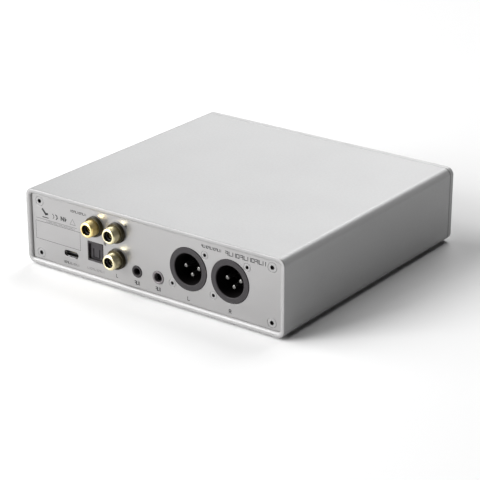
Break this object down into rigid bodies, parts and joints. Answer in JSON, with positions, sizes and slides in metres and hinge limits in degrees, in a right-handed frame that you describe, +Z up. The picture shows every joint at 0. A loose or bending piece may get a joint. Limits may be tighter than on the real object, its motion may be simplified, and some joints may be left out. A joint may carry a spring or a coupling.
{
  "type": "desktop audio converter",
  "caption": "Low silver desktop DAC: rounded aluminium sleeve, inset rear panel with XLR, RCA, optical, USB-C and jack sockets, front display window and turning, pushing volume knob.",
  "frame": {"origin": "on the resting surface, under the middle of the overall outline from the volume knob's face to the RCA tips", "axes": "+Z up; +Y towards the rear, the way plugs leave the connectors; -Y towards the user, out of the volume knob; +X to the user's right"},
  "size_m": [0.16, 0.1718, 0.0414],
  "materials": {
    "silver_anodised": "fine bead-blasted, silver-white anodised, matte",
    "bracket_metal": "plain sheet",
    "screw_metal": "plated, satin",
    "rubber": "matte",
    "charcoal_plastic": "fine moulded texture, dark grey",
    "contact_metal": "silver plated",
    "black_plastic": "moulded, semi-gloss",
    "gold": "polished gold plating",
    "steel": "satin",
    "jack_metal": "dark nickel plating",
    "circuit_board": "green solder mask",
    "component_black": "moulded epoxy",
    "can_silver": "drawn can",
    "display_glass": "dark tinted, polished",
    "ribbon_film": "amber polyimide film"
  },
  "bodies": {
    "case": {"case_sleeve": "silver_anodised", "rear_panel": "silver_anodised", "rear_panel_screw_1": "screw_metal", "rear_panel_screw_2": "screw_metal", "rear_panel_screw_3": "screw_metal", "rear_panel_screw_4": "screw_metal", "foot_rear_left": "rubber", "foot_rear_right": "rubber", "foot_front_left": "rubber", "foot_front_right": "rubber", "xlr_left_housing": "charcoal_plastic", "xlr_left_pin_1": "contact_metal", "xlr_left_pin_2": "contact_metal", "xlr_left_pin_3": "contact_metal", "xlr_left_screw_1": "screw_metal", "xlr_left_screw_2": "screw_metal", "xlr_right_housing": "charcoal_plastic", "xlr_right_pin_1": "contact_metal", "xlr_right_pin_2": "contact_metal", "xlr_right_pin_3": "contact_metal", "xlr_right_screw_1": "screw_metal", "xlr_right_screw_2": "screw_metal", "rca_coaxial_body": "black_plastic", "rca_coaxial_shell": "gold", "rca_coaxial_contact": "gold", "rca_right_body": "black_plastic", "rca_right_shell": "gold", "rca_right_contact": "gold", "rca_left_body": "black_plastic", "rca_left_shell": "gold", "rca_left_contact": "gold", "optical_housing": "charcoal_plastic", "usb_c_shell": "steel", "usb_c_tongue": "black_plastic", "jack_3_5_ring": "charcoal_plastic", "jack_3_5_body": "black_plastic", "jack_4_4_ring": "jack_metal", "jack_4_4_body": "black_plastic", "main_board": "circuit_board", "dac_chip": "component_black", "usb_receiver_chip": "component_black", "clock_oscillator": "can_silver", "output_relay": "component_black", "filter_capacitor_1": "can_silver", "filter_capacitor_2": "can_silver", "front_fascia": "silver_anodised", "front_bracket": "bracket_metal", "front_bracket_screw_1": "screw_metal", "front_bracket_screw_2": "screw_metal", "front_bracket_screw_3": "screw_metal", "front_bracket_screw_4": "screw_metal", "display_window": "display_glass", "display_module": "component_black", "front_board": "circuit_board", "ribbon_cable": "ribbon_film", "encoder_housing": "black_plastic"},
    "shutter": {"optical_shutter": "charcoal_plastic"},
    "plunger": {"encoder_plunger": "steel"},
    "knob": {"encoder_shaft": "steel", "volume_knob": "silver_anodised"}
  },
  "joints": [
    {"name": "shutter_hinge", "type": "hinge", "parent": "case", "child": "shutter", "pos_m": [0.0356, 0.07767, 0.01965], "axis": [-1, 0, 0], "range_deg": [0, 80], "stiffness_Nm_per_rad": 0.0006, "springref_deg": -17.19},
    {"name": "knob_push", "type": "slide", "parent": "case", "child": "plunger", "axis": [0, 1, 0], "range_m": [0, 0.0005], "stiffness_N_per_m": 4000, "springref_m": -0.00025},
    {"name": "knob_turn", "type": "hinge", "parent": "plunger", "child": "knob", "pos_m": [0.05, -0.0797, 0.0212], "axis": [0, 1, 0], "continuous": true}
  ]
}
